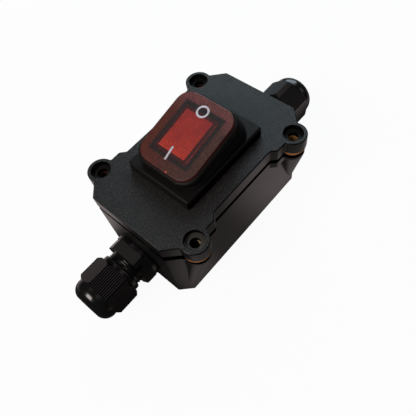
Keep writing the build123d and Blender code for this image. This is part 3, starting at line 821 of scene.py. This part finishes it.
class SWITCHBOX_OT_marks(bpy.types.Operator):
    """Print the O and I marks on the cap"""

    bl_idname = "switch_box.marks"
    bl_label = "Switch marks"

    RING_STEPS = 64

    def execute(self, context):
        settings = context.scene.switch_box_switch
        finish = mark_print(settings)
        for name, shape in (("mark_o", self.ring(settings)), ("mark_i", self.bar(settings))):
            bmesh.ops.transform(shape, matrix=rocker_place, verts=shape.verts)
            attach(piece(name, shape, finish), "rocker")
        return {"FINISHED"}

    def ring(self, settings):
        """The O, flat on the cap's top."""
        shape = bmesh.new()
        bmesh.ops.create_circle(shape, cap_ends=False, radius=settings.ring_diameter / 2,
                                segments=self.RING_STEPS)
        rims = bmesh.ops.extrude_edge_only(shape, edges=shape.edges[:])["geom"]
        inner = [part for part in rims if isinstance(part, bmesh.types.BMVert)]
        bore = 1 - 2 * settings.ring_stroke / settings.ring_diameter
        bmesh.ops.scale(shape, vec=(bore, bore, 1), verts=inner)
        bmesh.ops.recalc_face_normals(shape, faces=shape.faces)
        bmesh.ops.solidify(shape, geom=shape.faces[:], thickness=settings.print_height)
        lowest = min(vertex.co.z for vertex in shape.verts)
        place = (settings.ring_along, settings.ring_aside, cap_top - lowest)
        bmesh.ops.translate(shape, vec=place, verts=shape.verts)
        return shape

    def bar(self, settings):
        """The I, flat on the cap's top."""
        shape = bmesh.new()
        bmesh.ops.create_cube(shape, size=1)
        size = (settings.bar_length, settings.bar_stroke, settings.print_height)
        bmesh.ops.scale(shape, vec=size, verts=shape.verts)
        bmesh.ops.rotate(shape, matrix=Matrix.Rotation(settings.bar_turn, 3, "Z"), verts=shape.verts)
        place = (-settings.bar_along, settings.bar_aside, cap_top + settings.print_height / 2)
        bmesh.ops.translate(shape, vec=place, verts=shape.verts)
        return shape


class SWITCHBOX_OT_glands(bpy.types.Operator):
    """Finish the glands and cut their threads"""

    bl_idname = "switch_box.glands"
    bl_label = "Cable glands"

    STEPS_PER_TURN = 48
    CREST = (0.42, 0.58)
    ROOT_SINK = 0.05 * MM

    def execute(self, context):
        settings = context.scene.switch_box_gland
        nylon = black_nylon(settings)
        for stem in ("gland_body", "gland_nut", "gland_locknut"):
            dress(nylon, *both(stem, ENDS))
        rubber = black_rubber("seal_rubber", context.scene.switch_box_switch)
        for stem in ("gland_seal", "gland_gasket"):
            dress(rubber, *both(stem, ENDS))
        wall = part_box("base_shell")[1].x
        for name, end in ENDS.items():
            thread = self.thread(settings, end, wall)
            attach(piece(f"gland_thread_{name}", thread, nylon), "case")
        return {"FINISHED"}

    def thread(self, settings, end, wall):
        """A ridge wound round the bare neck between the body's hex and the nut."""
        pitch = settings.thread_pitch
        neck = settings.neck_diameter / 2
        root = neck - self.ROOT_SINK
        crest = neck + settings.thread_height
        crest_start, crest_end = (share * pitch for share in self.CREST)
        turns = (settings.thread_end - settings.thread_start) / pitch - 1
        shape = bmesh.new()
        start = wall + settings.thread_start
        ridge = [shape.verts.new((end * (start + along), 0, gland_axis_z + radius))
                 for along, radius in ((0, root), (crest_start, crest), (crest_end, crest), (pitch, root))]
        section = shape.faces.new(ridge)
        bmesh.ops.spin(shape, geom=[*section.verts, *section.edges, section], cent=(0, 0, gland_axis_z),
                       axis=(1, 0, 0), dvec=(end * pitch / self.STEPS_PER_TURN, 0, 0), angle=turns * math.tau,
                       steps=round(turns * self.STEPS_PER_TURN))
        return shape


class SWITCHBOX_OT_stage(bpy.types.Operator):
    """Set up the floor, the light and the camera"""

    bl_idname = "switch_box.stage"
    bl_label = "Stage"

    FLOOR_REACH = 3

    def execute(self, context):
        scene = context.scene
        settings = scene.switch_box_stage
        self.make_floor(scene, settings)
        self.make_world(scene, settings)
        self.make_lamps(scene)
        self.make_camera(scene, settings)
        scene.view_settings.view_transform = "Standard"
        return {"FINISHED"}

    def make_floor(self, scene, settings):
        """Floor that the camera sees white, with a faint shadow round the object, and a painted reflection in
        the object's gloss.
        """
        shape = bmesh.new()
        bmesh.ops.create_grid(shape, x_segments=1, y_segments=1, size=self.FLOOR_REACH)
        mesh = bpy.data.meshes.new("floor")
        shape.to_mesh(mesh)
        shape.free()
        finish = Finish("floor_paper", {"Roughness": 0.9})
        x, y, _ = finish.split(finish.place())
        seen = finish.ray("Camera").larger(finish.ray("Transmission"))
        glossy = finish.ray("Glossy")
        unseen = finish.mix(settings.floor_bounce, BLACK, glossy)
        finish.set("Base Color", finish.mix(unseen, settings.floor_colour, seen))
        tint = finish.mix(settings.floor_tint, settings.floor_far_tint, x.rising(*mm(60, 120)))
        shown = finish.mix(tint, WHITE, seen)
        shine = finish.node("ShaderNodeEmission", {}, {"Color": shown, "Strength": 1.0})
        away = (x * x + y * y).root().rising(*mm(100, 400))
        white = settings.floor_white + away * (1 - settings.floor_white)
        finish.cover(shine, (seen * white).larger(glossy * self.gleam(settings, x, y)))
        mesh.materials.append(finish.material)
        floor = bpy.data.objects.new("floor", mesh)
        scene.collection.objects.link(floor)

    def gleam(self, settings, x, y):
        """Floor in the object's gloss as a painted reflection: painted shadow by the object, brightest left
        and far.
        """
        left_slant, right_slant = ((x + near_end).smaller(0) for near_end in mm(45, 38))
        left = (left_slant + y).rising(*mm(17, 26))
        left_fall = 2.4 - y.rising(*mm(40, 80)) * 1.5
        right = (right_slant - y).rising(*mm(13, 21)) - (-y).rising(*mm(32, 60))
        dip = x.rising(*mm(-20, -11)) * 0.58
        far = x.rising(*mm(-3, 23)) * settings.floor_far_gleam
        open_floor = (left * left_fall).larger(right)
        return settings.floor_dim + open_floor * settings.floor_gleam * (1 - dip + far)

    def make_world(self, scene, settings):
        """White where it is seen, and a faint even fill otherwise."""
        world = bpy.data.worlds.new("studio")
        world.use_nodes = True
        nodes = Nodes(world.node_tree)
        fill = nodes.tree.nodes["Background"]
        nodes.feed(fill.inputs["Color"], settings.fill_colour)
        nodes.feed(fill.inputs["Strength"], settings.fill_strength)
        white = nodes.node("ShaderNodeBackground", {}, {"Color": WHITE, "Strength": 1.0})
        nodes.take_over("World Output", fill, white, nodes.ray("Camera").larger(nodes.ray("Transmission")))
        scene.world = world

    def make_lamps(self, scene):
        """Soft rectangles of light that face the object."""
        for lamp in LAMPS:
            light = bpy.data.lights.new(lamp.name, "AREA")
            light.shape = "RECTANGLE"
            light.size = lamp.width
            light.size_y = lamp.height
            light.energy = lamp.brightness * math.pi * lamp.width * lamp.height
            light.color = lamp.tint
            holder = bpy.data.objects.new(lamp.name, light)
            holder.location = lamp.place
            holder.rotation_euler = (LAMP_AIM - Vector(lamp.place)).to_track_quat("-Z", "Y").to_euler()
            scene.collection.objects.link(holder)

    def make_camera(self, scene, settings):
        """Camera at the photograph's place."""
        camera = bpy.data.cameras.new("camera")
        camera.lens = settings.lens
        camera.shift_x = settings.shift_x
        camera.shift_y = settings.shift_y
        camera.clip_start = 1 * MM
        holder = bpy.data.objects.new("camera", camera)
        holder.location = settings.camera_place
        holder.rotation_euler = settings.camera_turn
        scene.collection.objects.link(holder)
        scene.camera = holder


class SWITCHBOX_PT_panel(bpy.types.Panel):
    """The steps that dress the switch box"""

    bl_idname = "SWITCHBOX_PT_panel"
    bl_label = "Switch Box"
    bl_space_type = "VIEW_3D"
    bl_region_type = "UI"
    bl_category = "Switch Box"

    def draw(self, context):
        for step in STEPS:
            self.layout.operator(step.bl_idname)


GROUPS = {
    "switch_box_case": CaseSettings,
    "switch_box_switch": SwitchSettings,
    "switch_box_gear": GearSettings,
    "switch_box_gland": GlandSettings,
    "switch_box_stage": StageSettings,
}
STEPS = (SWITCHBOX_OT_case, SWITCHBOX_OT_switch, SWITCHBOX_OT_contact_gear, SWITCHBOX_OT_boot,
         SWITCHBOX_OT_marks, SWITCHBOX_OT_glands, SWITCHBOX_OT_stage)


def register():
    for item in (*GROUPS.values(), *STEPS, SWITCHBOX_PT_panel):
        bpy.utils.register_class(item)
    for name, group in GROUPS.items():
        setattr(bpy.types.Scene, name, PointerProperty(type=group))


def unregister():
    for name in GROUPS:
        delattr(bpy.types.Scene, name)
    for item in (SWITCHBOX_PT_panel, *reversed(STEPS), *reversed(GROUPS.values())):
        bpy.utils.unregister_class(item)


def main():
    register()
    bpy.ops.switch_box.case()
    bpy.ops.switch_box.switch()
    bpy.ops.switch_box.contact_gear()
    bpy.ops.switch_box.boot()
    bpy.ops.switch_box.marks()
    bpy.ops.switch_box.glands()
    bpy.ops.switch_box.stage()


if __name__ == "__main__":
    main()
